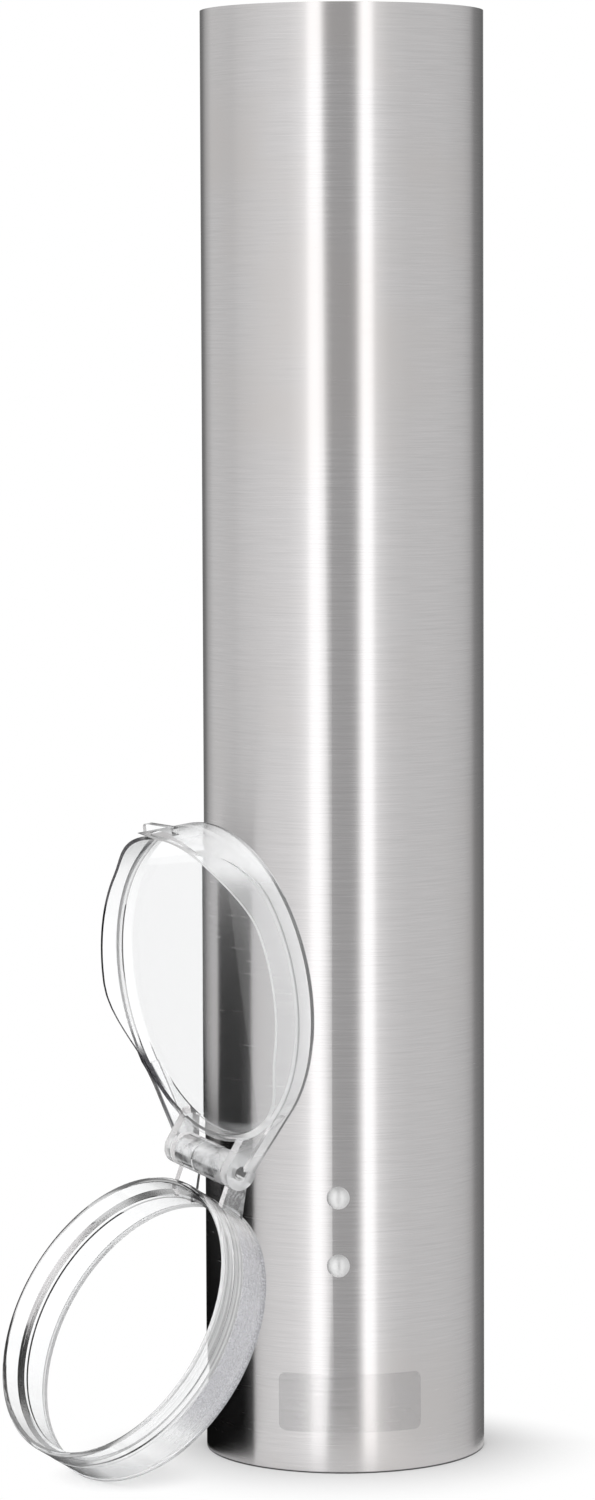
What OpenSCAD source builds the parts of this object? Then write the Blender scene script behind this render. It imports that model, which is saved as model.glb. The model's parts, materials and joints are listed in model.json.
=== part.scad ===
/* [Tube] */
// Outside diameter of the rolled sheet tube
tube_d = 79.375; // [65:0.125:95]
// Height of the tube
tube_h = 406.4; // [370:0.1:520]
// Thickness of the tube's sheet
tube_wall = 0.7; // [0.5:0.05:1.2]

/* [Label film] */
// Width of the film, measured round the tube
label_w = 41.6; // [30:0.1:55]
// Height of the film
label_h = 16.4; // [10:0.1:24]
// Height of the film's lower edge above the mouth
label_z = 11.5; // [6:0.1:18]
// Corner radius of the film
label_corner = 2; // [1:0.1:4]
// Thickness of the film
label_t = 0.12; // [0.08:0.01:0.3]
// How far round from the front centre line the film sits, in degrees
label_turn = 2; // [-5:0.1:5]

/* [Spring fingers] */
// Width of a finger, measured along a straight line
finger_w = 16; // [10:0.5:20]
// Thickness of the finger's spring sheet
finger_t = 0.5; // [0.3:0.05:0.8]
// Length of the flat root that is riveted to the wall
finger_root = 38; // [34:0.5:44]
// Height of the lower end of the flat root above the mouth
finger_bend_z = 49; // [44:0.5:51]
// How far the finger's nose stands in from the wall
finger_reach = 6.5; // [4:0.1:8]
// Height of the nose above the mouth
finger_nose_z = 15; // [12:0.5:18]
// Height of the flared end above the mouth
finger_end_z = 5; // [3:0.5:8]
// How far the flared end stands in from the wall
finger_end_reach = 3; // [2:0.1:3.6]
// Turn of the set of fingers from the front centre line, in degrees
finger_turn = -2.7; // [-5:0.1:5]

/* [Rivets] */
// Shank diameter
rivet_d = 3.2; // [2.8:0.1:3.6]
// Diameter of the domed head
rivet_head_d = 6.4; // [5.6:0.1:7.2]
// Height of the domed head
rivet_head_h = 1.4; // [1:0.1:1.8]
// Diameter of the closed tail
rivet_tail_d = 5; // [4.4:0.1:5.4]
// Height of the closed tail
rivet_tail_h = 1; // [0.6:0.1:1.4]
// Height of the lower finger rivet above the mouth
rivet_low_z = 58.5; // [56:0.5:60]
// Distance between the two rivets of a finger
rivet_gap = 19.05; // [16:0.05:21]
// Play between a rivet's shank and its hole, on the radius
rivet_play = 0.05; // [0.02:0.01:0.1]
// Gap that keeps two round sheets that lie on each other apart
seat_gap = 0.02; // [0.01:0.01:0.05]

/* [Wall bracket] */
// Length of the bracket up the back of the tube
bracket_h = 190; // [180:1:220]
// Height of the bracket's middle above the mouth
bracket_mid_z = 250; // [200:1:255]
// Width of the flat face that lies on the wall
bracket_w = 26; // [22:0.5:30]
// Distance from the back of the tube to the wall
bracket_stand = 8; // [6:0.5:12]
// Thickness of the bracket's sheet
bracket_t = 1.2; // [1:0.1:1.6]
// Bend radius inside the bracket's folds
bracket_bend = 1.5; // [1:0.1:2]
// Width of each foot round the tube, in degrees
foot_angle = 17; // [15:1:20]
// Distance from a bracket's end to its rivets
foot_rivet_in = 28; // [24:1:36]
// Distance between the two screw holes
screw_gap = 152.4; // [140:0.1:160]
// Diameter of a screw hole
screw_hole_d = 5.2; // [4:0.1:6]
// Diameter of the hole in the tube that lets the driver reach a screw
driver_hole_d = 11; // [9:0.5:13]

/* [Cap ring] */
// Play between the tube and the ring's bore, on the radius
cap_fit = 0.6; // [0.4:0.05:0.8]
// Thickness of the ring's frosted skirt
skirt_wall = 1.9; // [1.6:0.05:2.1]
// Depth of the skirt that goes over the tube
skirt_h = 9.3; // [8.6:0.1:9.6]
// Height of the whole ring
ring_h = 16.9; // [16.4:0.1:17.6]
// Step from the skirt in to the clear collar, on the radius
collar_step = 0.1; // [0.1:0.05:0.3]
// Thickness of the clear collar
collar_wall = 1.5; // [1.2:0.05:1.8]
// Thickness of the inside ledge that stops the ring on the tube
ledge_h = 1.5; // [1:0.1:2]
// Height of the bevel above the ledge
ledge_bevel = 1.1; // [0.6:0.1:1.6]
// Height of the bead round the ring's foot
bead_h = 1; // [1:0.1:1.4]
// How far the bead stands out from the skirt
bead_out = 0.35; // [0.2:0.05:0.4]

/* [Lid] */
// Play between the lid's skirt and the ring's skirt, on the radius
lid_fit = 0.35; // [0.3:0.05:0.5]
// Thickness of the lid's walls
lid_wall = 1; // [0.9:0.05:1.2]
// Thickness of the lid's top
lid_top_t = 1.2; // [1:0.05:1.5]
// Gap between the ring's rim and the lid's top when the lid is shut
lid_top_gap = 0.3; // [0.2:0.05:0.5]
// How far the upper band of the lid stands out from its skirt
band_out = 1.3; // [1.2:0.1:1.8]
// Height of the upper band, from the shoulder to the top
band_h = 5.9; // [5.4:0.1:6.2]
// Height of the lid at its sides, from the free edge to the top
side_h = 11.8; // [11.2:0.1:12.1]
// How much deeper the front lip is than the sides
lip_drop = 5.2; // [4.4:0.1:5.2]
// How far the free edge climbs from the sides to the ears
ear_rise = 6.7; // [6:0.1:7.2]
// Height of the rear web's free edge above the hinge line
rear_up = 1.5; // [1:0.1:2]
// Radius on the lid's outer edge
lid_edge_r = 0.9; // [0.5:0.1:0.9]
// Width of the thumb tab
tab_w = 14.4; // [10:0.1:15]
// How far the thumb tab stands out
tab_out = 1.7; // [1.2:0.1:3]
// Thickness of the thumb tab
tab_t = 2.4; // [1.6:0.1:2.8]
// Height of the thumb tab above the lip's edge
tab_up = 0.2; // [0.1:0.1:1]
// Corner radius of the thumb tab
tab_corner = 1; // [0.6:0.1:1.2]
// Turn of the thumb tab round the lid from its centre line, in degrees
tab_turn = 7; // [-8:0.5:8]

/* [Hinge] */
// Distance from the ring's skirt to the hinge line
hinge_reach = 8.9; // [8.8:0.05:9.4]
// Height of the hinge line above the ring's foot
hinge_z = 13.2; // [12.9:0.1:13.4]
// Diameter of the hinge barrel
barrel_d = 9.8; // [9.2:0.1:9.9]
// Length of the hinge barrel
barrel_w = 24.4; // [20:0.2:26]
// Diameter of the pin
pin_d = 4; // [3.5:0.1:4.4]
// Play between the pin and the barrel's bore, on the radius
pin_play = 0.05; // [0.02:0.01:0.08]
// Chamfer on the pin's ends
pin_chamfer = 0.4; // [0.2:0.1:0.6]
// Gap between an end of the barrel and a lid ear
ear_gap = 0.3; // [0.3:0.05:0.5]
// Thickness of a lid ear
ear_t = 3; // [2.4:0.1:3.2]
// How far past the roof's end the neck's sides run into the ears
neck_past = 0.4; // [0.3:0.05:0.4]
// Distance from the hinge line back to where the lid's top starts to slope down
roof_back = 10; // [9:0.1:11]
// Thickness of an arm that carries the barrel
arm_t = 2; // [1.6:0.1:2.4]
// Height of an arm's foot above the ring's foot
arm_low = 1.2; // [1:0.1:2]
// Height of an arm's upper edge where it leaves the ring
arm_high = 10.2; // [9.8:0.1:10.4]
// Width of the moulding groove round the barrel
groove_w = 0.6; // [0.4:0.1:0.8]
// Depth of the moulding groove
groove_t = 0.35; // [0.2:0.05:0.5]
// Distance of the moulding groove from the barrel's middle
groove_y = 1.8; // [0:0.1:4]

/* [Resting place of the cap] */
// Tilt of the ring away from lying flat, in degrees
cap_lean = 59; // [54:0.1:65]
// Direction in plan that the ring leans towards, in degrees from +X
cap_heading = 40.6; // [35:0.1:45]
// Direction in plan from the tube to the ring, in degrees from +X
cap_bearing = -149.9; // [-154:0.1:-144]
// Turn of the hinge away from the ring's highest point, in degrees
hinge_turn = -8.8; // [-13:0.1:-4]
// How far the lid is open, in degrees
lid_open = 142.7; // [138:0.1:146]
// Gap between the leaning cap and the tube
rest_gap = 0.3; // [0.3:0.05:1]

/* [Hidden] */
$fn = 96;
eps = 0.01;
// how far a cut runs past what it cuts
past = 1;
// half the length of the cutter for a hole through a round sheet
hole_reach = 6;
// straight steps in each curved stretch of the lid's free edge
edge_steps = 8;

steel = [0.74, 0.74, 0.75];
clear = [0.86, 0.9, 0.93, 0.45];

front = -90;
back = 90;
tube_r = tube_d / 2;
bore_r = tube_r - tube_wall;

finger_r = bore_r - seat_gap;
finger_angle = 2 * asin(finger_w / 2 / finger_r);
finger_turns = [front + finger_turn, front + finger_turn - 120, front + finger_turn + 120];
finger_rivet_zs = [rivet_low_z, rivet_low_z + rivet_gap];
hole_r = rivet_d / 2 + rivet_play;

bracket_y = tube_r + bracket_stand;
bracket_low_z = bracket_mid_z - bracket_h / 2;
screw_zs = [bracket_mid_z - screw_gap / 2, bracket_mid_z + screw_gap / 2];
foot_r = tube_r + seat_gap;
foot_out_r = foot_r + bracket_t;
fold_r = bracket_bend + bracket_t;
leg_in = bracket_w / 2 - bracket_t;
foot_start = asin(leg_in / foot_out_r);
foot_mid = foot_start + foot_angle / 2;
foot_rivet_zs = [bracket_low_z + foot_rivet_in, bracket_low_z + bracket_h - foot_rivet_in];

ring_bore_r = tube_r + cap_fit;
skirt_r = ring_bore_r + skirt_wall;
bead_r = skirt_r + bead_out;
collar_r = skirt_r - collar_step;
collar_in_r = collar_r - collar_wall;
ledge_r = bore_r;
rim_r = collar_wall / 2;

hinge_x = skirt_r + hinge_reach;
barrel_r = barrel_d / 2;
pin_r = pin_d / 2;
pin_hole_r = pin_r + pin_play;
arm_y = barrel_w / 2 - arm_t;

lid_in_r = skirt_r + lid_fit;
lid_r = lid_in_r + lid_wall;
band_r = lid_r + band_out;
band_in_r = band_r - lid_wall;
lid_under = ring_h + lid_top_gap;
lid_top = lid_under + lid_top_t;
shoulder_z = lid_top - band_h;
side_z = lid_top - side_h;
lip_z = side_z - lip_drop;
rear_z = hinge_z + rear_up;
tab_z = lip_z + tab_up;
ear_in = barrel_w / 2 + ear_gap;
ear_out = ear_in + ear_t;
cut_w = 3 * band_r;
// the lid's top plate ends inside the band's wall
plate_in = (lid_edge_r + lid_wall) / 2;
plate_r = band_r - plate_in;

// places on the lid's centre line, as shares of its radius
lip_share = 0.56;
climb_share = 0.2;
climb_end_share = 0.84;
climb_join_share = 0.7;
dip_share = 0.65;
// along the centre line, the free edge is level between lip_x and climb_x
lip_x = -lid_r * lip_share;
climb_x = lid_r * climb_share;
climb_end = lid_r * climb_end_share;
climb_join = lid_r * climb_join_share;
// the shoulder dips from dip_x to the lip in a quarter of a rounded arch
dip_x = -lid_r * dip_share;
dip_a = lid_in_r + dip_x - lid_wall / 2;
dip_b = shoulder_z - lip_z;
dip_power = 0.77;

// the roof slopes from the lid's top down to the ears' round ends
hinge = [hinge_x, hinge_z];
roof_top = [hinge_x - roof_back, lid_top];
roof_end = hinge + touch(roof_top - hinge, barrel_r, -1);
roof_n = (roof_end - hinge) / barrel_r;
// the neck's sides leave the band as tangents and run into the ears at the corner
corner = [roof_end.x + neck_past, ear_out];
neck_a = atan2(corner.y, corner.x) + acos(band_r / norm(corner));
neck_l = sqrt(corner * corner - band_r * band_r) + ear_gap;

// points on an arc in a plane
function arc(c, r, a0, a1, n = 6) =
    [for (i = [0:n]) let (a = a0 + (a1 - a0) * i / n) c + r * [cos(a), sin(a)]];
// a smooth climb from 0 to 1 while u goes from 0 to 1
function ease(u) =
    let (v = max(0, min(1, u))) v * v * (3 - 2 * v);
// where the line from p touches a circle round the origin, on side s
function touch(p, r, s) =
    let (a = atan2(p.y, p.x) + s * acos(r / norm(p))) r * [cos(a), sin(a)];

// the cap's turns, as its modules apply them
function turn_y(v, a) = [v.x * cos(a) + v.z * sin(a), v.y, v.z * cos(a) - v.x * sin(a)];
function turn_z(v, a) = [v.x * cos(a) - v.y * sin(a), v.x * sin(a) + v.y * cos(a), v.z];
function cap_dir(v) = turn_z(turn_y(turn_z(v, hinge_turn), -cap_lean), cap_heading);
function cap_pos(d) = [d * cos(cap_bearing), d * sin(cap_bearing), bead_r * sin(cap_lean)];
function opened(v) =
    let (h = [hinge_x, 0, hinge_z]) h + turn_y(v - h, lid_open);
// distance in plan from the tube's axis to the nearest of some points of the cap
function nearest(points, d) =
    min([for (v = points) let (p = cap_pos(d) + cap_dir(v)) norm([p.x, p.y])]);

// the points of the cap that can come nearest to the tube: the lid's round edge, its neck
// and the ring's foot
function circle_points(r, z) = [for (a = [0:2:358]) [r * cos(a), r * sin(a), z]];
edge_points = [for (v = circle_points(band_r - lid_edge_r, lid_top - lid_edge_r)) opened(v)];
neck_points = [for (s = [-1, 1], y = [ear_in, ear_out], p = [roof_top, roof_end])
    opened([p.x, s * y, p.y])];
foot_points = concat(circle_points(bead_r, 0), circle_points(bead_r, bead_h - bead_out));
function cap_gap(d) =
    min(nearest(edge_points, d) - lid_edge_r, nearest(neck_points, d), nearest(foot_points, d))
        - tube_r;
// the cap slides along its bearing until it is rest_gap from the tube
function settle(d, n) = n == 0 ? d : settle(d + rest_gap - cap_gap(d), n - 1);
cap_at = cap_pos(settle(tube_r + hinge_x / 2, 20));

// the origin lies under the middle of the whole part
cap_axis = cap_dir([0, 0, 1]);
rim_at = cap_at + (ring_h - rim_r) * cap_axis;
rim_x = rim_at.x - rim_r - (collar_r - rim_r) * sqrt(1 - cap_axis.x * cap_axis.x);
rim_y = rim_at.y - rim_r - (collar_r - rim_r) * sqrt(1 - cap_axis.y * cap_axis.y);
middle = [(rim_x + tube_r) / 2, (rim_y + bracket_y) / 2, 0];

module placed() {
    translate(-middle) children();
}

module cap_placed() {
    placed() translate(cap_at)
        rotate([0, 0, cap_heading]) rotate([0, -cap_lean, 0]) rotate([0, 0, hinge_turn])
            children();
}

module lid_placed() {
    cap_placed() translate([hinge_x, 0, hinge_z]) rotate([0, lid_open, 0])
        translate([-hinge_x, 0, -hinge_z]) children();
}

// a straight hole along the radius
module radial_hole(turn, z, r) {
    rotate([0, 0, turn]) translate([tube_r - hole_reach, 0, z]) rotate([0, 90, 0])
        cylinder(r = r, h = 2 * hole_reach);
}

// a round ring between two radii and two heights
module ring(r0, r1, z0, z1) {
    translate([0, 0, z0]) rotate_extrude() translate([r0, 0]) square([r1 - r0, z1 - z0]);
}

// a profile in the plane of the lid's centre line, as wide as the lid
module across(points) {
    rotate([90, 0, 0]) translate([0, 0, -cut_w / 2])
        linear_extrude(height = cut_w) polygon(points);
}

// a rivet with its dome on radius outside and its tail on radius inside
module rivet(turn, z, outside, inside) {
    dome_r = (rivet_head_d * rivet_head_d / 4 + rivet_head_h * rivet_head_h) / (2 * rivet_head_h);
    tail_x = sqrt(inside * inside - rivet_tail_d * rivet_tail_d / 4) - seat_gap;
    rotate([0, 0, turn]) translate([0, 0, z]) rotate([0, 90, 0]) {
        translate([0, 0, tail_x - rivet_tail_h]) cylinder(d = rivet_tail_d, h = rivet_tail_h);
        translate([0, 0, tail_x - eps]) cylinder(d = rivet_d, h = outside - tail_x + 2 * eps);
        translate([0, 0, outside]) rotate_extrude() intersection() {
            translate([0, rivet_head_h - dome_r]) circle(r = dome_r);
            square([rivet_head_d / 2, rivet_head_h]);
        }
    }
}

module tube() {
    color(steel) placed() difference() {
        ring(bore_r, tube_r, 0, tube_h);
        for (t = finger_turns, z = finger_rivet_zs)
            radial_hole(t, z, hole_r);
        for (s = [-1, 1], z = foot_rivet_zs)
            radial_hole(back + s * foot_mid, z, hole_r);
        for (z = screw_zs)
            radial_hole(back, z, driver_hole_d / 2);
    }
}

// distance of a finger's outer face from the tube's axis at height z
function finger_x(z) =
    z > finger_nose_z
        ? finger_r - finger_reach * ease((finger_bend_z - z) / (finger_bend_z - finger_nose_z))
        : finger_r - finger_reach + (finger_reach - finger_end_reach)
            * pow((finger_nose_z - z) / (finger_nose_z - finger_end_z), 2);

module finger(turn) {
    leaf = (finger_bend_z - finger_nose_z) / 10;
    flare = (finger_nose_z - finger_end_z) / 5;
    zs = concat([finger_bend_z + finger_root],
        [for (i = [0:10]) finger_bend_z - i * leaf], [for (i = [1:5]) finger_nose_z - i * flare]);
    last = len(zs) - 1;
    color(steel) placed() difference() {
        rotate([0, 0, turn - finger_angle / 2]) rotate_extrude(angle = finger_angle)
            polygon(concat([for (z = zs) [finger_x(z), z]],
                [for (i = [last:-1:0]) [finger_x(zs[i]) - finger_t, zs[i]]]));
        for (z = finger_rivet_zs)
            radial_hole(turn, z, hole_r);
    }
}

module finger_front() {
    finger(finger_turns[0]);
}

module finger_left() {
    finger(finger_turns[1]);
}

module finger_right() {
    finger(finger_turns[2]);
}

module finger_rivets() {
    color([0.8, 0.8, 0.8]) placed()
        for (t = finger_turns, z = finger_rivet_zs)
            rivet(t, z, tube_r, finger_r - finger_t);
}

module label_film() {
    film_r = tube_r + seat_gap;
    half_w = film_r * sin(label_w / 2 / film_r * 180 / PI);
    c = label_corner;
    color([0.6, 0.62, 0.64, 0.5]) placed() rotate([0, 0, label_turn])
        translate([0, 0, label_z]) intersection() {
            ring(film_r, film_r + label_t, 0, label_h);
            rotate([90, 0, 0]) linear_extrude(height = film_r + 1) polygon(concat(
                arc([half_w - c, c], c, -90, 0), arc([half_w - c, label_h - c], c, 0, 90),
                arc([c - half_w, label_h - c], c, 90, 180), arc([c - half_w, c], c, 180, 270)));
        }
}

// the bracket's section in plan: a flat face, two folds, two legs and two curved feet
module bracket_section() {
    face_w = bracket_w - 2 * fold_r;
    foot_end = foot_start + foot_angle;
    translate([-face_w / 2, bracket_y - bracket_t]) square([face_w, bracket_t]);
    for (s = [0, 1]) mirror([s, 0]) {
        translate([face_w / 2, bracket_y - fold_r]) intersection() {
            difference() {
                circle(r = fold_r);
                circle(r = bracket_bend);
            }
            square(fold_r);
        }
        difference() {
            translate([leg_in, 0]) square([bracket_t, bracket_y - fold_r]);
            circle(r = foot_r + bracket_t / 2);
        }
        intersection() {
            difference() {
                circle(r = foot_out_r);
                circle(r = foot_r);
            }
            polygon([[0, 0], 2 * tube_r * [sin(foot_start), cos(foot_start)],
                2 * tube_r * [sin(foot_end), cos(foot_end)]]);
        }
    }
}

module wall_bracket() {
    color(steel) placed() difference() {
        translate([0, 0, bracket_low_z]) linear_extrude(height = bracket_h) bracket_section();
        for (z = screw_zs)
            translate([0, bracket_y - 3 * bracket_t, z]) rotate([-90, 0, 0])
                cylinder(d = screw_hole_d, h = 6 * bracket_t);
        for (s = [-1, 1], z = foot_rivet_zs)
            radial_hole(back + s * foot_mid, z, hole_r);
    }
}

module bracket_rivets() {
    color([0.8, 0.8, 0.8]) placed()
        for (s = [-1, 1], z = foot_rivet_zs)
            rivet(back + s * foot_mid, z, foot_out_r, bore_r);
}

// the ring's section: bead, skirt, clear collar with its round rim, and ledge with its bevel
module ring_section() {
    ledge_top = skirt_h + ledge_h;
    polygon(concat([[ring_bore_r, 0], [bead_r, 0]],
        arc([skirt_r, bead_h - bead_out], bead_out, 0, 90, 3),
        [[skirt_r, skirt_h], [collar_r, skirt_h]],
        arc([collar_r - rim_r, ring_h - rim_r], rim_r, 0, 180, 10),
        [[collar_in_r, ledge_top + ledge_bevel], [ledge_r, ledge_top], [ledge_r, skirt_h],
            [ring_bore_r, skirt_h]]));
}

// an arm's side, from inside the ring's wall out to the barrel
module arm_side() {
    low = [sqrt(ring_bore_r * ring_bore_r - barrel_w * barrel_w / 4), arm_low];
    polygon([low, hinge + touch(low - hinge, barrel_r, 1), hinge, [low.x, arm_high]]);
}

module cap_ring() {
    color(clear) cap_placed() difference() {
        union() {
            rotate_extrude() ring_section();
            translate([hinge_x, 0, hinge_z]) rotate([90, 0, 0])
                cylinder(r = barrel_r, h = barrel_w, center = true);
            difference() {
                for (y = [-arm_y, barrel_w / 2])
                    translate([0, y, 0]) rotate([90, 0, 0]) linear_extrude(height = arm_t) arm_side();
                cylinder(r = ring_bore_r + skirt_wall / 4, h = ring_h);
            }
        }
        translate([hinge_x, 0, hinge_z]) rotate([90, 0, 0]) {
            cylinder(r = pin_hole_r, h = barrel_w + 2 * past, center = true);
            ring_cut = barrel_r - groove_t;
            ring(ring_cut, barrel_r + past, -groove_y - groove_w / 2, groove_w / 2 - groove_y);
        }
    }
}

// height of the free edge along the centre line
function edge_z(x) =
    side_z - lip_drop * ease((lip_x - x) / (lid_r + lip_x))
        + ear_rise * ease((x - climb_x) / (climb_end - climb_x));

// everything below the free edge
module below_edge() {
    lip_step = (lid_r + lip_x) / edge_steps;
    climb_step = (climb_end - climb_x) / edge_steps;
    xs = concat([-cut_w / 2], [for (i = [0:edge_steps]) i * lip_step - lid_r],
        [for (i = [0:edge_steps]) climb_x + i * climb_step], [cut_w / 2]);
    across(concat([for (x = xs) [x, edge_z(x)]],
        [[cut_w / 2, lip_z - band_r], [-cut_w / 2, lip_z - band_r]]));
}

// everything below the shoulder, grown by g
module below_shoulder(g) {
    a = dip_a + g;
    b = dip_b + g;
    across(concat([[cut_w / 2, shoulder_z + g]],
        [for (t = [0:9:90]) [dip_x - a * pow(sin(t), dip_power), lip_z + b * pow(cos(t), dip_power)]],
        [[dip_x - a, lip_z - band_r], [cut_w / 2, lip_z - band_r]]));
}

// the band's section: a wall with a round outer edge that runs into the lid's top
module band_section() {
    in_r = band_r - lid_edge_r - lid_wall;
    polygon(concat([[band_in_r, lip_z], [band_r, lip_z]],
        arc([band_r - lid_edge_r, lid_top - lid_edge_r], lid_edge_r, 0, 90),
        [[in_r, lid_top], [in_r, lid_under], [band_in_r, lid_under]]));
}

// the wide upper wall, round the lid and along the neck's sides
module lid_band() {
    difference() {
        union() {
            rotate([0, 0, neck_a]) rotate_extrude(angle = 360 - 2 * neck_a) band_section();
            for (s = [0, 1]) mirror([0, s, 0]) rotate([0, 0, neck_a]) rotate([90, 0, 0])
                linear_extrude(height = neck_l) band_section();
        }
        below_edge();
        below_shoulder(0);
    }
}

// the narrow lower wall, the shoulder that joins it to the band, and the rear web
module lid_skirt() {
    difference() {
        union() {
            intersection() {
                ring(lid_in_r, lid_r, lip_z, lid_under + eps);
                union() {
                    below_shoulder(lid_wall);
                    translate([climb_join, -band_r, 0]) cube([band_r, 2 * band_r, lid_top]);
                }
            }
            difference() {
                intersection() {
                    ring(lid_in_r, band_r - lid_wall / 2, lip_z, lid_under);
                    below_shoulder(lid_wall);
                }
                below_shoulder(0);
            }
        }
        below_edge();
    }
    intersection() {
        ring(lid_in_r, lid_r, rear_z, lid_under + eps);
        translate([0, -ear_out, 0]) cube([band_r, 2 * ear_out, lid_top]);
    }
}

// half of the neck in plan, from the band to the slot that the barrel turns in
function neck_half(s) =
    let (n = [cos(neck_a), sin(neck_a)])
    [for (p = [plate_r * n, corner - plate_in * n, [roof_end.x - neck_past, ear_in],
        [lid_in_r, ear_in]]) [p.x, s * p.y]];

// the top of the neck, which slopes down to the ears
module lid_neck() {
    left = neck_half(1);
    right = neck_half(-1);
    intersection() {
        translate([0, 0, hinge_z]) linear_extrude(height = lid_top - hinge_z)
            polygon(concat(left, [right[3], right[2], right[1], right[0]]));
        across([[0, lid_top], roof_top, roof_end, roof_end - lid_top_t * roof_n,
            [roof_top.x - lid_top_t / 2, lid_under], [0, lid_under]]);
    }
}

// an ear's cheek: round about the pin, and joined to the rear web
module lid_cheek(y) {
    web_r = (lid_in_r + lid_r) / 2;
    web_y = (ear_in + ear_out) / 2;
    web_low = [sqrt(web_r * web_r - web_y * web_y), rear_z];
    translate([0, y, 0]) rotate([90, 0, 0]) linear_extrude(height = ear_t) {
        translate(hinge) circle(r = barrel_r);
        polygon([roof_top, roof_end, hinge, hinge + touch(web_low - hinge, barrel_r, 1), web_low,
            [web_low.x, lid_top]]);
    }
}

module thumb_tab() {
    half = tab_w / 2;
    root = lid_wall - band_r;
    out = band_r + tab_out;
    rotate([0, 0, -tab_turn]) translate([0, 0, tab_z]) linear_extrude(height = tab_t) polygon(concat(
        [[root, half], [root, -half]],
        arc([tab_corner - out, tab_corner - half], tab_corner, 270, 180),
        arc([tab_corner - out, half - tab_corner], tab_corner, 180, 90)));
}

module flip_lid() {
    color(clear) lid_placed() difference() {
        union() {
            translate([0, 0, lid_under]) cylinder(r = plate_r, h = lid_top_t);
            lid_band();
            lid_skirt();
            lid_neck();
            lid_cheek(-ear_in);
            lid_cheek(ear_out);
            thumb_tab();
        }
        across([roof_top, roof_end, 2 * roof_end - roof_top, [hinge_x + roof_back, 2 * lid_top],
            [roof_top.x, 2 * lid_top]]);
        translate([hinge_x, 0, hinge_z]) rotate([90, 0, 0])
            cylinder(r = pin_hole_r, h = 2 * ear_out + 2, center = true);
    }
}

module hinge_pin() {
    color(clear) cap_placed() translate([hinge_x, 0, hinge_z]) rotate([90, 0, 0])
        rotate_extrude() polygon([[0, -ear_out], [pin_r - pin_chamfer, -ear_out],
            [pin_r, pin_chamfer - ear_out], [pin_r, ear_out - pin_chamfer],
            [pin_r - pin_chamfer, ear_out], [0, ear_out]]);
}

tube();
finger_front();
finger_left();
finger_right();
finger_rivets();
label_film();
wall_bracket();
bracket_rivets();
cap_ring();
flip_lid();
hinge_pin();
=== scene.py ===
import json
import math

import bpy
from mathutils import Matrix, Vector

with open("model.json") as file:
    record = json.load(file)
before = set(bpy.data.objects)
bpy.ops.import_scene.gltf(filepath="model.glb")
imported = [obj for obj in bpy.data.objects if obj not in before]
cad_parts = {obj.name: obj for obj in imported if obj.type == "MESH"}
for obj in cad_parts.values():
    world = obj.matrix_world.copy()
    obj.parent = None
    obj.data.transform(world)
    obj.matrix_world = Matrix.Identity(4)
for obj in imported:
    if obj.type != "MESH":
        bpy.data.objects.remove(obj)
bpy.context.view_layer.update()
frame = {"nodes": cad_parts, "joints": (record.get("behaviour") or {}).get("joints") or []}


# Places, sizes and directions on the object, in metres in the frame
lid_hinge = next(joint for joint in frame["joints"] if joint["name"] == "lid_hinge")
HINGE_AT = Vector(lid_hinge["pos_m"])
LID_SIDE = Vector(lid_hinge["axis"])  # along the hinge, to the left in the picture
TUBE_AT = Vector((0.0284751, 0.013839, 0.0))  # the tube's axis at the floor
TUBE_R = 0.0396875
RING_FOOT = Vector((-0.0255172, -0.0174592, 0.0364618))  # middle of the ring's foot
RING_AXIS = Vector((-0.650823, -0.557822, 0.515038))  # from the ring's foot to its rim
RING_RIGHT = Vector((0.712, -0.681, 0.163))  # from the ring's middle to its textured side
RING_SKIRT_H = 0.0093  # height of the ring's frosted skirt
RING_SKIRT_R = 0.04219  # and its outside radius
RING_SPOT = Vector((-0.0315, -0.0262, 0.0))  # where the ring stands on the floor
LID_UNDER = Vector((-0.00642773, -0.0200679, 0.137319))  # middle of the lid's top, inside
LID_NORMAL = Vector((0.812228, 0.574063, 0.10362))  # out of the lid's top
LID_HINGEWARD = LID_SIDE.cross(LID_NORMAL)  # across the lid to its hinge
NECK_OUT = 0.77 * LID_SIDE + 0.64 * LID_HINGEWARD  # square to the side wall of the lid's neck


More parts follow.
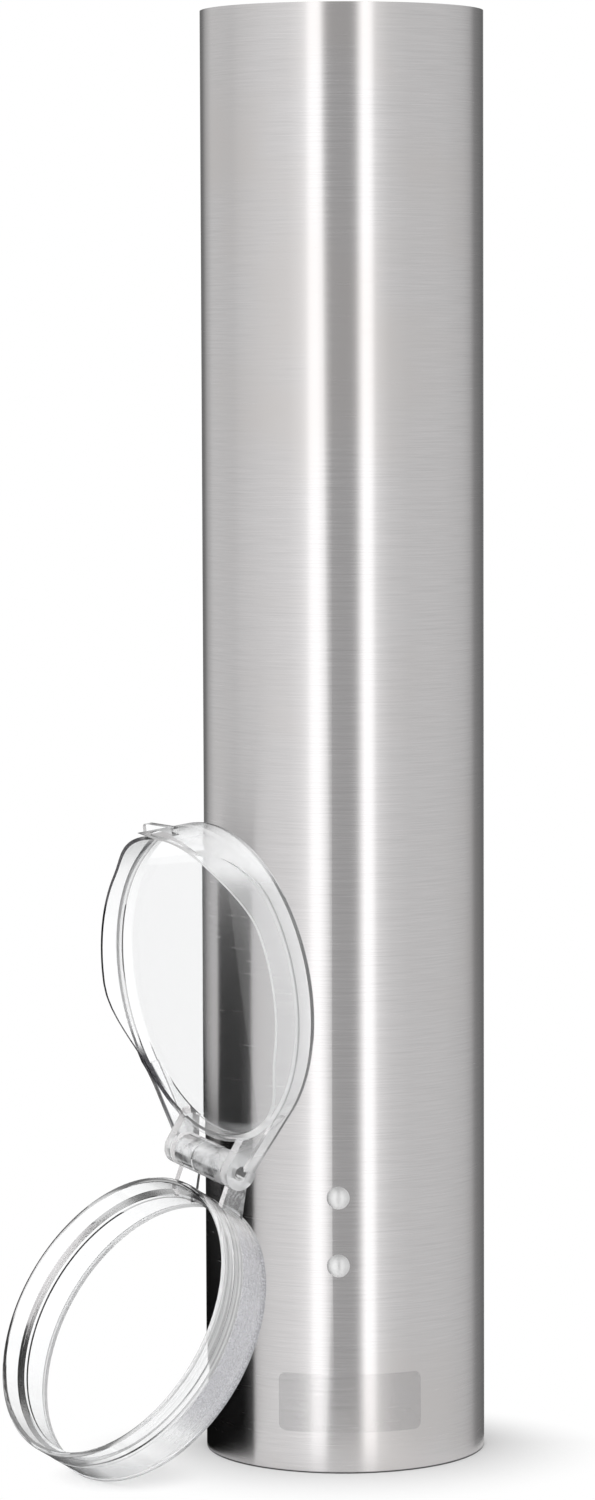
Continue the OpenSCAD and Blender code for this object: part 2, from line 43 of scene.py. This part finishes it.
class Graph:
    """A small helper that adds and links the shader nodes of a material or the world."""

    def __init__(self, owner, output):
        owner.use_nodes = True
        self.owner = owner
        self.tree = owner.node_tree
        self.tree.nodes.clear()
        self.surface = self.add(output).inputs["Surface"]

    def add(self, kind, ins=None, **props):
        node = self.tree.nodes.new(kind)
        for key, value in props.items():
            setattr(node, key, value)
        for key, value in (ins or {}).items():
            self.put(node.inputs[key], value)
        return node

    def put(self, socket, value):
        if isinstance(value, bpy.types.NodeSocket):
            self.tree.links.new(value, socket)
        else:
            socket.default_value = value

    def math(self, op, *values, clamp=False):
        ins = dict(enumerate(values))
        return self.add("ShaderNodeMath", ins, operation=op, use_clamp=clamp).outputs[0]

    def times(self, first, *others):
        for other in others:
            first = self.math("MULTIPLY", first, other)
        return first

    def most(self, first, *others):
        for other in others:
            first = self.math("MAXIMUM", first, other)
        return first

    def minus(self, a, b, clamp=False):
        return self.math("SUBTRACT", a, b, clamp=clamp)

    def vec(self, op, a, b=(0.0, 0.0, 0.0)):
        node = self.add("ShaderNodeVectorMath", {0: a, 1: b}, operation=op)
        return node.outputs["Value"] if op in ("DOT_PRODUCT", "LENGTH") else node.outputs["Vector"]

    def split(self, vector):
        return self.add("ShaderNodeSeparateXYZ", {0: vector}).outputs

    def join(self, x, y, z):
        return self.add("ShaderNodeCombineXYZ", {0: x, 1: y, 2: z}).outputs[0]

    def place(self, origin=None):
        """Where a point of the object is, measured from the frame's origin or from another one."""
        pos = self.add("ShaderNodeTexCoord").outputs["Object"]
        return pos if origin is None else self.vec("SUBTRACT", pos, origin)

    def facing(self, direction):
        """How far the surface faces a direction: 1 towards it and -1 away from it."""
        normal = self.add("ShaderNodeTexCoord").outputs["Normal"]
        return self.vec("DOT_PRODUCT", normal, direction)

    def fade(self, value, zone, ends, smooth=True):
        """Goes from the first end to the second while the value crosses the zone."""
        ins = {
            "Value": value,
            "From Min": zone[0],
            "From Max": zone[1],
            "To Min": ends[0],
            "To Max": ends[1],
        }
        kind = "SMOOTHSTEP" if smooth else "LINEAR"
        return self.add("ShaderNodeMapRange", ins, interpolation_type=kind).outputs["Result"]

    def rise(self, value, zone):
        return self.fade(value, zone, (0.0, 1.0))

    def fall(self, value, zone):
        return self.fade(value, zone, (1.0, 0.0))

    def noise(self, vector, scale=1.0, detail=2.0, rough=0.5):
        ins = {"Vector": vector, "Scale": scale, "Detail": detail, "Roughness": rough}
        return self.add("ShaderNodeTexNoise", ins).outputs["Fac"]

    def ramp(self, value, stops):
        """A colour that follows a value; each stop is a place and a grey level or a colour."""
        node = self.add("ShaderNodeValToRGB", {"Fac": value})
        elements = node.color_ramp.elements
        elements[0].position = stops[0][0]
        elements[1].position = stops[-1][0]
        for at, _ in stops[1:-1]:
            elements.new(at)
        for element, (_, colour) in zip(elements, stops):
            colour = [colour] * 3 if isinstance(colour, float) else colour
            element.color = (*colour, 1.0)
        return node.outputs["Color"]

    def mix(self, share, a, b):
        node = self.add("ShaderNodeMix", data_type="RGBA")
        self.put(node.inputs["Factor"], share)
        self.put(node.inputs["A"], a)
        self.put(node.inputs["B"], b)
        return node.outputs["Result"]

    def bump(self, height, strength, depth, normal=None):
        ins = {"Height": height, "Strength": strength, "Distance": depth}
        if normal is not None:
            ins["Normal"] = normal
        return self.add("ShaderNodeBump", ins).outputs["Normal"]

    def finish(self, shader):
        self.put(self.surface, shader)
        return self.owner

    def finish_mixed(self, share, shader_a, shader_b):
        mixed = self.add("ShaderNodeMixShader", {0: share, 1: shader_a, 2: shader_b})
        return self.finish(mixed.outputs[0])

    def principled(self, **ins):
        ins = {key.replace("_", " "): value for key, value in ins.items()}
        return self.finish(self.add("ShaderNodeBsdfPrincipled", ins).outputs["BSDF"])


def material(name):
    return Graph(bpy.data.materials.new(name), "ShaderNodeOutputMaterial")


def grey(level):
    return (level, level, level, 1.0)


# Zones of a noise, which runs from 0 to 1 and mostly stays near 0.5
MID_NOISE = (0.3, 0.7)
CORE_NOISE = (0.35, 0.65)

# Brushed steel
FINE_STREAKS = (70.0, 3600.0)  # noise per metre round the tube, and per metre up it
COARSE_STREAKS = (30.0, 1100.0)
FINE_SHARE = 0.7
STREAK_DARKER = 0.09
STREAK_LIGHTER = 0.08
STREAK_ROUGHER = (-0.03, 0.04)
CLOUD_SCALE = 16.0  # warm clouds per metre
CLOUD_ZONE = (0.50, 0.72)
CLOUD_TONE = (0.985, 0.97, 0.955)
FOOT_SHADE_BAND = (0.0002, 0.0006)  # height of the painted shade round the tube's foot, where it meets the floor, in metres
FOOT_SHADE_GREY = 0.08
BRUSH_TURN = 0.25  # turn of the gloss from the tangent, in full turns


def round_tube(g, place, streaks):
    """Coordinates for a noise that is drawn out round the tube."""
    x, y, z = g.split(place)
    turn = g.math("ARCTAN2", y, x)
    return g.join(g.times(turn, TUBE_R * streaks[0]), g.times(z, streaks[1]), 0.0)


def brushed_steel(name, base, rough):
    """Steel brushed round the tube: streaks in its colour, roughness and bump, warm clouds, and a painted
    contact shadow round its foot.
    """
    g = material(name)
    place = g.place(TUBE_AT)
    fine = g.noise(round_tube(g, place, FINE_STREAKS), rough=0.6)
    coarse = g.noise(round_tube(g, place, COARSE_STREAKS))
    streaks = g.math("ADD", g.times(fine, FINE_SHARE), g.times(coarse, 1 - FINE_SHARE))
    dark = [c * (1 - STREAK_DARKER) for c in base]
    lite = [min(1.0, c * (1 + STREAK_LIGHTER)) for c in base]
    warm = [c * tone for c, tone in zip(base, CLOUD_TONE)] + [1.0]
    colour = g.ramp(streaks, [(MID_NOISE[0], dark), (0.5, base), (MID_NOISE[1], lite)])
    cloud = g.noise(place, CLOUD_SCALE, detail=3.0)
    colour = g.mix(g.rise(cloud, CLOUD_ZONE), colour, warm)
    # Painted shade: a dark line round the tube's foot, where it meets the floor
    colour = g.mix(g.fall(g.split(place)[2], FOOT_SHADE_BAND), colour, grey(FOOT_SHADE_GREY))
    rougher = [rough + change for change in STREAK_ROUGHER]
    return g.principled(
        Base_Color=colour,
        Metallic=1.0,
        Roughness=g.fade(streaks, MID_NOISE, rougher, smooth=False),
        Anisotropic=1.0,
        Anisotropic_Rotation=BRUSH_TURN,
        Tangent=g.add("ShaderNodeTangent", direction_type="RADIAL", axis="Z").outputs[0],
        Normal=g.bump(streaks, strength=0.05, depth=0.00003),
    )


# Plain metal
SHEET_LINES = (900.0, 900.0, 120.0)  # fine lines per metre along x, y and z
WIDE_SHARE = 0.6
SHEET_DARKER = 0.10
SHEET_LIGHTER = 0.07
SHEET_ROUGHER = (-0.05, 0.07)


def sheet_metal(name, base, rough, scale):
    """Unbrushed metal: an uneven tone with fine lines up it."""
    g = material(name)
    wide = g.noise(g.place(), scale, detail=4.0, rough=0.6)
    lines = g.noise(g.vec("MULTIPLY", g.place(), SHEET_LINES))
    uneven = g.math("ADD", g.times(wide, WIDE_SHARE), g.times(lines, 1 - WIDE_SHARE))
    dark = [c * (1 - SHEET_DARKER) for c in base]
    lite = [min(1.0, c * (1 + SHEET_LIGHTER)) for c in base]
    rougher = [rough + change for change in SHEET_ROUGHER]
    return g.principled(
        Base_Color=g.ramp(uneven, [(MID_NOISE[0], dark), (MID_NOISE[1], lite)]),
        Metallic=1.0,
        Roughness=g.fade(uneven, MID_NOISE, rougher, smooth=False),
        Normal=g.bump(uneven, strength=0.12, depth=0.00005),
    )


# Clear plastic
CLEAR = 0.985  # share of the light that passes a clean face
CLEAR_TINT = (0.99, 0.994, 0.998, 1.0)
CLEAR_ROUGHNESS = (0.012, 0.035)
CLEAR_IOR = 1.5
FLOW_SCALE = 38.0  # slow waves per metre, from the moulding


def along(g, origin, axis):
    """How far a point lies from an origin along an axis, and how far out from that axis."""
    off = g.place(origin)
    up = g.vec("DOT_PRODUCT", off, axis)
    on_axis = g.add("ShaderNodeVectorMath", {0: axis, "Scale": up}, operation="SCALE").outputs[0]
    return up, g.vec("LENGTH", g.vec("SUBTRACT", off, on_axis))


def clear_plastic(name):
    """The start of each clear material: its graph, the flow in it, and what it has in common."""
    g = material(name)
    flow = g.noise(g.place(), FLOW_SCALE)
    ins = {
        "Base_Color": CLEAR_TINT,
        "Roughness": g.fade(flow, MID_NOISE, CLEAR_ROUGHNESS, smooth=False),
        "IOR": CLEAR_IOR,
        "Normal": g.bump(flow, strength=0.10, depth=0.0004),
    }
    return g, flow, ins


# The ring: where each zone starts and ends, in metres
SKIRT_TOP = (RING_SKIRT_H - 0.0003, RING_SKIRT_H + 0.0001)  # up the ring's axis
SKIRT_OUTSIDE = (RING_SKIRT_R - 0.0004, RING_SKIRT_R - 0.0002)  # out from the ring's axis
STIPPLED_SIDE = (0.027, 0.036)  # towards the ring's right side
STREAKED_SIDE = (0.020, 0.032)  # towards the ring's right side
BARREL_OUTSIDE = (0.0050, 0.0060)  # out from the hinge's line
RING_FOOT_EDGE = (0.0007, 0.0012)  # up the ring's axis
NEAR_FLOOR = (0.005, 0.014)  # up from the floor

# The ring: noise that breaks each zone up, as its scale per metre and the part of it that is used
SPECK_SCALE = 1500.0
SPECK_ZONE = (0.47, 0.56)
BLOB_SCALE = 240.0
BLOB_ZONE = (0.42, 0.60)
STREAK_SCALE = (900.0, 500.0)  # up the ring's axis and out from it
STREAK_ZONE = (0.40, 0.62)

# The ring: how each zone looks; haze is the share of light that is scattered, at least and at most
STIPPLE_SHARE = (0.04, 1.0)  # how much of the stipple there is before its side and on it
SPECK_HAZE = (0.02, 0.80)
BLOB_HAZE = (0.08, 0.34)
STREAK_HAZE = (0.16, 0.55)
FOOT_EDGE_HAZE = 0.55
NEAR_FLOOR_HAZE = 0.30
SKIRT_TINT = (0.74, 0.74, 0.78, 1.0)
SKIRT_ROUGHER = 0.10


def ring_plastic(name):
    """The ring: a stippled skirt, streaks on its right side, and haze in its hinge and foot."""
    g, _, ins = clear_plastic(name)
    up, radius = along(g, RING_FOOT, RING_AXIS)
    rightward = g.vec("DOT_PRODUCT", g.place(RING_FOOT), RING_RIGHT)
    right = g.rise(rightward, STREAKED_SIDE)
    stippled = g.fade(rightward, STIPPLED_SIDE, STIPPLE_SHARE)
    skirt = g.times(g.fall(up, SKIRT_TOP), g.rise(radius, SKIRT_OUTSIDE), stippled)

    stipple = g.noise(g.place(), SPECK_SCALE, detail=3.0, rough=0.8)
    specks = g.times(skirt, g.fade(stipple, SPECK_ZONE, SPECK_HAZE))
    blobs = g.fade(g.noise(g.place(), BLOB_SCALE, detail=1.0), BLOB_ZONE, BLOB_HAZE)
    _, from_hinge = along(g, HINGE_AT, LID_SIDE)
    barrel = g.times(blobs, g.fall(from_hinge, BARREL_OUTSIDE))
    drawn = g.noise(g.join(g.times(up, STREAK_SCALE[0]), g.times(radius, STREAK_SCALE[1]), 0.0))
    streaks = g.times(right, g.fade(drawn, STREAK_ZONE, STREAK_HAZE))
    foot = g.times(g.fall(up, RING_FOOT_EDGE), g.minus(1.0, right), FOOT_EDGE_HAZE)
    low = g.fade(g.split(g.place())[2], NEAR_FLOOR, (NEAR_FLOOR_HAZE, 0.0))

    ins["Base_Color"] = g.mix(skirt, CLEAR_TINT, SKIRT_TINT)
    ins["Roughness"] = g.math("ADD", ins["Roughness"], g.times(skirt, SKIRT_ROUGHER))
    ins["Transmission_Weight"] = g.minus(CLEAR, g.most(specks, barrel, streaks, foot, low))
    ins["Normal"] = g.bump(g.times(stipple, skirt), strength=1.0, depth=0.0008, normal=ins["Normal"])
    return g.principled(**ins)


# The lid: where each zone starts and ends, in metres from the middle of its top, inside.
# R is out from the lid's axis, UP along it, ALONG towards the hinge, and LEFT_HALF along the hinge.
LEFT_HALF = (-0.012, 0.004)
WALL_R = (0.0395, 0.0415)
WALL_UP = (-0.0015, -0.0005)
EARS_ALONG = (0.040, 0.046)
FRONT_ALONG = (-0.040, -0.030)
RIM_UP = (-0.0014, -0.0009)
RIM_R = (0.0449, 0.0451)
RIM_START_ALONG = (-0.043, -0.040)
RIM_END_ALONG = (0.038, 0.043)
NECK_ALONG = (0.026, 0.029)
NECK_LOWER_LINE_UP = (-0.0036, -0.0030)
NECK_UPPER_LINE_UP = (-0.0002, 0.0003)
SHOULDER_R = (0.0420, 0.0428)
SHOULDER_FOOT_UP = (-0.0060, -0.0054)
SHOULDER_TOP_UP = (-0.0042, -0.0036)
SHOULDER_END_ALONG = (0.020, 0.024)

# The lid: how squarely a face has to be turned, from -1 to 1
RIM_FACING = (-0.75, -0.45)  # away from the lid's top
NECK_FACING = (0.93, 0.98)  # square to the neck's side wall

# The lid: how each zone looks; haze is the share of light that is scattered
WALL_HAZE = (0.13, 0.03)  # at the right and at the left
EAR_HAZE = 0.26
FRONT_HAZE = 0.42
UNEVEN_HAZE = (0.7, 1.3)  # how far the flow thins and thickens these
RIM_HAZE = 0.5
SHOULDER_HAZE = 0.40
NECK_HAZE = 0.75
# Painted shade: the colour of dark lines that stand in for the dark edges that refraction gives
PAINTED_EDGE_SHADE = (0.10, 0.10, 0.11, 1.0)


def lid_walls(g, flow, up, radius, hingeward, left, right):
    """Haze all over but on the flat disc, more in the ears and the front lip, and uneven with the flow."""
    wall = g.most(g.rise(radius, WALL_R), g.fall(up, WALL_UP))
    sides = g.fade(left, (0.0, 1.0), WALL_HAZE)
    ears = g.fade(hingeward, EARS_ALONG, (0.0, EAR_HAZE))
    front = g.times(g.fade(hingeward, FRONT_ALONG, (FRONT_HAZE, 0.0)), right)
    uneven = g.fade(flow, CORE_NOISE, UNEVEN_HAZE, smooth=False)
    return g.times(wall, g.times(g.most(sides, ears, front), uneven))


def lid_rim(g, up, radius, hingeward):
    """The edge that the rim turns away from the lid's top."""
    return g.times(
        g.fall(g.facing(LID_NORMAL), RIM_FACING),
        g.fall(up, RIM_UP),
        g.fall(hingeward, RIM_END_ALONG),
        g.fall(radius, RIM_R),
        g.rise(hingeward, RIM_START_ALONG),
    )


def lid_neck(g, up, hingeward, left):
    """Two painted dark lines along the neck's side wall, standing in for the dark edges that refraction
    gives; light also meets the wall from inside, so either sign counts.
    """
    side_wall = g.rise(g.math("ABSOLUTE", g.facing(NECK_OUT)), NECK_FACING)
    lines = g.most(g.fall(up, NECK_LOWER_LINE_UP), g.rise(up, NECK_UPPER_LINE_UP))
    return g.times(side_wall, left, g.rise(hingeward, NECK_ALONG), lines)


def lid_shoulder(g, up, radius, hingeward, left):
    """The shoulder where the lid's wall steps out to its skirt, on the left."""
    return g.times(
        g.rise(radius, SHOULDER_R),
        g.rise(up, SHOULDER_FOOT_UP),
        g.fall(up, SHOULDER_TOP_UP),
        g.fall(hingeward, SHOULDER_END_ALONG),
        left,
    )


def lid_plastic(name):
    """The lid: hazy walls, painted dark lines down its left side that stand in for the dark edges of
    refraction, and a pale rim on its right.
    """
    g, flow, ins = clear_plastic(name)
    up, radius = along(g, LID_UNDER, LID_NORMAL)
    hingeward = g.vec("DOT_PRODUCT", g.place(LID_UNDER), LID_HINGEWARD)
    left = g.rise(g.vec("DOT_PRODUCT", g.place(LID_UNDER), LID_SIDE), LEFT_HALF)
    right = g.minus(1.0, left)
    rim = lid_rim(g, up, radius, hingeward)
    neck = lid_neck(g, up, hingeward, left)
    shoulder = lid_shoulder(g, up, radius, hingeward, left)

    clear = g.minus(CLEAR, lid_walls(g, flow, up, radius, hingeward, left, right))
    clear = g.minus(clear, g.times(rim, right, RIM_HAZE))
    clear = g.minus(clear, g.times(shoulder, SHOULDER_HAZE))
    ins["Transmission_Weight"] = g.minus(clear, g.times(neck, NECK_HAZE), clamp=True)
    # Painted shade: dark lines on the rim's left side and along the neck
    ins["Base_Color"] = g.mix(g.most(g.times(rim, left), neck), CLEAR_TINT, PAINTED_EDGE_SHADE)
    return g.principled(**ins)


PIN_CLEAR = (0.95, 0.90)


def pin_plastic(name):
    """The hinge's pin: clear, and a little hazier where the flow is thick."""
    g, flow, ins = clear_plastic(name)
    ins["Transmission_Weight"] = g.fade(flow, CORE_NOISE, PIN_CLEAR, smooth=False)
    return g.principled(**ins)


# Film
FILM_DARK = (0.38, 0.38, 0.385)
FILM_LITE = (0.46, 0.46, 0.465)
FILM_ROUGHNESS = (0.20, 0.30)
FILM_IOR = 1.9
FILM_GRAIN = 900.0  # per metre
FILM_SIDES = (0.007, 0.016)  # across the film from the tube's axis, in metres
FILM_ALPHA = (0.030, 0.12)  # share that a face hides, at the middle and at the sides


def film(name):
    """Thin grey film with a fine grain, denser at its sides."""
    g = material(name)
    grain = g.noise(g.place(), FILM_GRAIN, detail=3.0, rough=0.6)
    sideways = g.math("ABSOLUTE", g.split(g.place(TUBE_AT))[0])
    return g.principled(
        Base_Color=g.ramp(grain, [(MID_NOISE[0], FILM_DARK), (MID_NOISE[1], FILM_LITE)]),
        Roughness=g.fade(grain, MID_NOISE, FILM_ROUGHNESS, smooth=False),
        Specular_IOR_Level=1.0,
        IOR=FILM_IOR,
        Alpha=g.fade(sideways, FILM_SIDES, FILM_ALPHA),
        Normal=g.bump(grain, strength=0.1, depth=0.00003),
    )


def dress(mat, *nodes):
    for node in nodes:
        mesh = frame["nodes"][node].data
        mesh.materials.clear()
        mesh.materials.append(mat)


dress(brushed_steel("tube_brushed_steel", (0.748, 0.732, 0.734), rough=0.24), "tube")
spring = sheet_metal("spring_leaf_steel", (0.68, 0.68, 0.69), rough=0.3, scale=60.0)
dress(spring, "finger_front", "finger_left", "finger_right")
rivet = sheet_metal("rivet_aluminium", (0.90, 0.90, 0.90), rough=0.42, scale=400.0)
dress(rivet, "finger_rivets", "bracket_rivets")
dress(sheet_metal("bracket_mill_steel", (0.62, 0.62, 0.64), rough=0.42, scale=45.0), "wall_bracket")
dress(film("label_grey_film"), "label_film")
dress(ring_plastic("ring_clear_plastic"), "cap_ring")
dress(lid_plastic("lid_clear_plastic"), "flip_lid")
dress(pin_plastic("pin_clear_plastic"), "hinge_pin")

# Clear pieces would cast the shadow of a solid, and their image in the steel would be a hard line
for clear_piece in ("cap_ring", "flip_lid", "hinge_pin"):
    frame["nodes"][clear_piece].visible_shadow = False
    frame["nodes"][clear_piece].visible_glossy = False

# Floor: sizes in metres, and how bright it is
FLOOR_R = 9.0
FLOOR_STEPS = 96
FLOOR_ANGLES = [2 * math.pi * i / FLOOR_STEPS for i in range(FLOOR_STEPS)]
MIRRORED_R = 0.043  # how far from the tube's axis the floor that the steel reflects ends
MIRRORED_MORE_IN_FRONT = 0.026
MIRRORED_LESS_AT_LEFT = 0.003
TUBE_SHADOW = (0.036, 0.080)  # from the tube's axis, where the grey paper's cast and painted shadow gives way to plain white
RING_SHADOW = (0.006, 0.024)  # the same for the ring's painted shadow, from the spot where the ring stands, which itself casts only a faint one
BEHIND_COUNTS = 0.45  # a step away behind the tube counts as so much more
PAPER_SCALE = 30.0  # unevenness per metre
# The paper is greyer than the white round it, which deepens the painted shadow
PAPER_GREY = (0.79, 0.80)
BRIGHTER_IN_CLEAR = 0.09  # how much brighter the white is behind clear pieces


def stage_mesh(name, verts, faces, mat):
    mesh = bpy.data.meshes.new(name)
    mesh.from_pydata(verts, [], faces)
    mesh.update()
    mesh.materials.append(mat)
    obj = bpy.data.objects.new(name, mesh)
    bpy.context.scene.collection.objects.link(obj)
    return obj


def mirrored_edge(angle):
    """Where the floor that the steel reflects ends: close at the sides, further out in front."""
    front = max(0.0, -math.sin(angle))
    left = max(0.0, -math.cos(angle))
    return MIRRORED_R + MIRRORED_MORE_IN_FRONT * front ** 3 - MIRRORED_LESS_AT_LEFT * left


def disc(name, inner, outer, mat):
    """A flat ring on the floor round the tube's axis, between two lists of radii, one for each angle."""
    verts, faces = [], []
    for i, angle in enumerate(FLOOR_ANGLES):
        for r in (inner[i], outer[i]):
            verts.append((TUBE_AT.x + r * math.cos(angle), TUBE_AT.y + r * math.sin(angle), 0.0))
        j = (i + 1) % FLOOR_STEPS
        faces.append((2 * i, 2 * i + 1, 2 * j + 1, 2 * j))
    return stage_mesh(name, verts, faces, mat)


def white_floor(name):
    """Pale grey paper that takes the object's cast shadow near it, and shows as white further away; the
    fade between them, round the tube and the ring's foot, is a painted shadow.
    """
    g = material(name)
    from_tube = g.place(TUBE_AT)
    behind = g.most(g.split(from_tube)[1], 0.0)
    away = g.math("MULTIPLY_ADD", behind, BEHIND_COUNTS, g.vec("LENGTH", from_tube))
    from_ring = g.vec("LENGTH", g.place(RING_SPOT))
    # Painted shadow: grey paper near the tube and where the ring stands, fading out to white
    beyond_painted_shadow = g.times(g.rise(away, TUBE_SHADOW), g.rise(from_ring, RING_SHADOW))
    path = g.add("ShaderNodeLightPath").outputs
    seen = g.most(path["Is Camera Ray"], path["Is Glossy Ray"], path["Is Transmission Ray"])
    level = g.math("MULTIPLY_ADD", path["Is Transmission Ray"], BRIGHTER_IN_CLEAR, 1.0)
    uneven = g.noise(g.place(), PAPER_SCALE, detail=3.0)
    paper = g.ramp(uneven, list(zip(MID_NOISE, PAPER_GREY)))
    plain = g.add("ShaderNodeBsdfDiffuse", {"Color": paper}).outputs[0]
    white = g.add("ShaderNodeEmission", {"Color": grey(1.0), "Strength": level}).outputs[0]
    return g.finish_mixed(g.times(seen, beyond_painted_shadow), plain, white)


floor_white = white_floor("floor_white")
near_edge = [mirrored_edge(angle) for angle in FLOOR_ANGLES]
disc("floor_near", [0.0] * FLOOR_STEPS, near_edge, floor_white)
far_floor = disc("floor_far", near_edge, [FLOOR_R] * FLOOR_STEPS, floor_white)
far_floor.visible_glossy = False

# A dark card to the left of the object, in metres from the tube's axis: only mirrored rays show it
CARD_FOOT = -0.12
CARD_HIGH = 0.158
CARD_LOW = 0.085
CARD_TOP_LINE = [
    (-0.104, -0.043, CARD_HIGH),
    (-0.104, 0.028, CARD_HIGH),
    (-0.104, 0.029, CARD_LOW),
    (-0.104, 0.19, CARD_LOW),
    (-0.090, 0.40, CARD_LOW),
]
# Painted light: the card's front edge is greyer, as if light fell on it
CARD_FRONT_EDGE = (TUBE_AT.y - 0.043, TUBE_AT.y - 0.020)
CARD_FRONT_PAINTED_GLOW = 0.11
FELT_SCALE = 80.0  # unevenness per metre
FELT_GREY = (0.003, 0.007)


def black_card(name):
    """Black felt, with painted light on its front edge, that shows only to rays which a gloss has
    mirrored.
    """
    g = material(name)
    felt_and_glow = g.ramp(g.noise(g.place(), FELT_SCALE), list(zip(MID_NOISE, FELT_GREY)))
    # Painted light on the card's front edge
    felt_and_glow = g.mix(g.fall(g.split(g.place())[1], CARD_FRONT_EDGE), felt_and_glow, grey(CARD_FRONT_PAINTED_GLOW))
    black = g.add("ShaderNodeBsdfDiffuse", {"Color": felt_and_glow}).outputs[0]
    nothing = g.add("ShaderNodeBsdfTransparent").outputs[0]
    mirrored = g.math("GREATER_THAN", g.add("ShaderNodeLightPath").outputs["Glossy Depth"], 0.5)
    return g.finish_mixed(mirrored, nothing, black)


verts = [(TUBE_AT.x + x, TUBE_AT.y + y, z) for x, y, top in CARD_TOP_LINE for z in (CARD_FOOT, top)]
faces = [(2 * i, 2 * i + 2, 2 * i + 3, 2 * i + 1) for i in range(len(CARD_TOP_LINE) - 1)]
card = stage_mesh("dark_card", verts, faces, black_card("card_black"))
card.visible_camera = False
card.visible_diffuse = False
card.visible_shadow = False

# Light from all round: each pair is an angle in degrees, from the camera's side to its right, and a level
ROUND = [
    (-180, 0.60), (-172, 0.15), (-157, 0.18), (-147, 0.44), (-134, 0.66), (-101, 0.65), (-93, 0.71),
    (-68, 0.80), (-45, 0.87), (-35, 0.98), (-29, 1.15), (-27, 1.48), (-18, 1.48), (-15, 0.70),
    (-12, 0.47), (-8, 0.44), (7, 0.43), (11, 0.52), (14, 1.0), (17, 1.55), (24, 1.48), (27, 0.94),
    (39, 0.75), (55, 0.68), (92, 0.66), (116, 0.60), (128, 0.50), (138, 0.26), (166, 0.12), (180, 0.60),
]
# The same for rays that come through clear pieces: brightest behind the object
THROUGH = [
    (-180, 1.05), (-150, 1.05), (-120, 1.0), (-60, 0.9), (0, 0.7), (60, 0.9), (120, 1.0),
    (150, 1.05), (180, 1.05),
]
OVERHEAD = (0.55, 0.9)  # how steeply up a ray goes, from 0 to 1
OVERHEAD_LEVEL = 1.25
OVERHEAD_LEVEL_IN_GLOSS = 0.45


def studio_light():
    """Light that changes with the angle round the object, and a white backdrop for the camera."""
    g = Graph(bpy.data.worlds.new("studio"), "ShaderNodeOutputWorld")
    dx, dy, dz = g.split(g.add("ShaderNodeTexCoord").outputs["Generated"])
    turn = g.math("ARCTAN2", dx, g.times(dy, -1.0))
    share = g.math("MULTIPLY_ADD", turn, 1 / (2 * math.pi), 0.5)
    around, through = [
        g.ramp(share, [((angle + 180) / 360, level) for angle, level in levels])
        for levels in (ROUND, THROUGH)
    ]
    path = g.add("ShaderNodeLightPath").outputs
    above = g.mix(path["Is Glossy Ray"], grey(OVERHEAD_LEVEL), grey(OVERHEAD_LEVEL_IN_GLOSS))
    light = g.mix(g.rise(dz, OVERHEAD), around, above)
    light = g.mix(path["Is Transmission Ray"], light, through)
    light = g.mix(path["Is Camera Ray"], light, grey(1.0))
    return g.finish(g.add("ShaderNodeBackground", {"Color": light, "Strength": 1.0}).outputs[0])


bpy.context.scene.world = studio_light()


# Softbox: sizes in metres
SOFTBOX_W = 1.4
SOFTBOX_D = 1.0
SOFTBOX_UP = 1.5
SOFTBOX_LEFT = 0.1  # from the tube's axis
SOFTBOX_FRONT = 0.2
SOFTBOX_WATTS = 6.0


def top_softbox():
    """A soft light above the object that shines straight down."""
    lamp = bpy.data.lights.new("top_softbox", "AREA")
    lamp.shape = "RECTANGLE"
    lamp.size = SOFTBOX_W
    lamp.size_y = SOFTBOX_D
    lamp.energy = SOFTBOX_WATTS
    box = bpy.data.objects.new("top_softbox", lamp)
    bpy.context.scene.collection.objects.link(box)
    box.location = (TUBE_AT.x - SOFTBOX_LEFT, TUBE_AT.y - SOFTBOX_FRONT, SOFTBOX_UP)
    box.visible_camera = False
    box.visible_glossy = False


top_softbox()

# Camera, as a fit to the tube's two ends and sides in the photograph gives it
PHOTO_W = 595  # pixels
PHOTO_H = 1500
FOCAL_PX = 4959.9
CENTRE_COLUMN = 343.6  # the column of pixels that the lens points at
SENSOR = 36.0  # millimetres
CAMERA_BACK = 1.4000226  # metres in front of the tube's axis
CAMERA_UP = 0.3126116
CAMERA_DOWN_TILT = 0.0810  # radians
CAMERA_ROLL = -0.003
CAMERA_REACH = 50.0  # metres that it sees


def photo_camera():
    cam = bpy.data.cameras.new("photo_camera")
    cam.sensor_fit = "AUTO"
    cam.sensor_width = SENSOR
    cam.lens = FOCAL_PX / PHOTO_H * SENSOR
    cam.shift_x = (PHOTO_W / 2 - CENTRE_COLUMN) / PHOTO_H
    cam.dof.use_dof = False
    cam.clip_end = CAMERA_REACH
    holder = bpy.data.objects.new("photo_camera", cam)
    bpy.context.scene.collection.objects.link(holder)
    holder.matrix_world = (
        Matrix.Translation((TUBE_AT.x, TUBE_AT.y - CAMERA_BACK, CAMERA_UP))
        @ Matrix.Rotation(math.pi / 2 - CAMERA_DOWN_TILT, 4, "X")
        @ Matrix.Rotation(CAMERA_ROLL, 4, "Z")
    )
    return holder


bpy.context.scene.camera = photo_camera()

bpy.context.scene.view_settings.view_transform = "Standard"

bpy.context.view_layer.update()
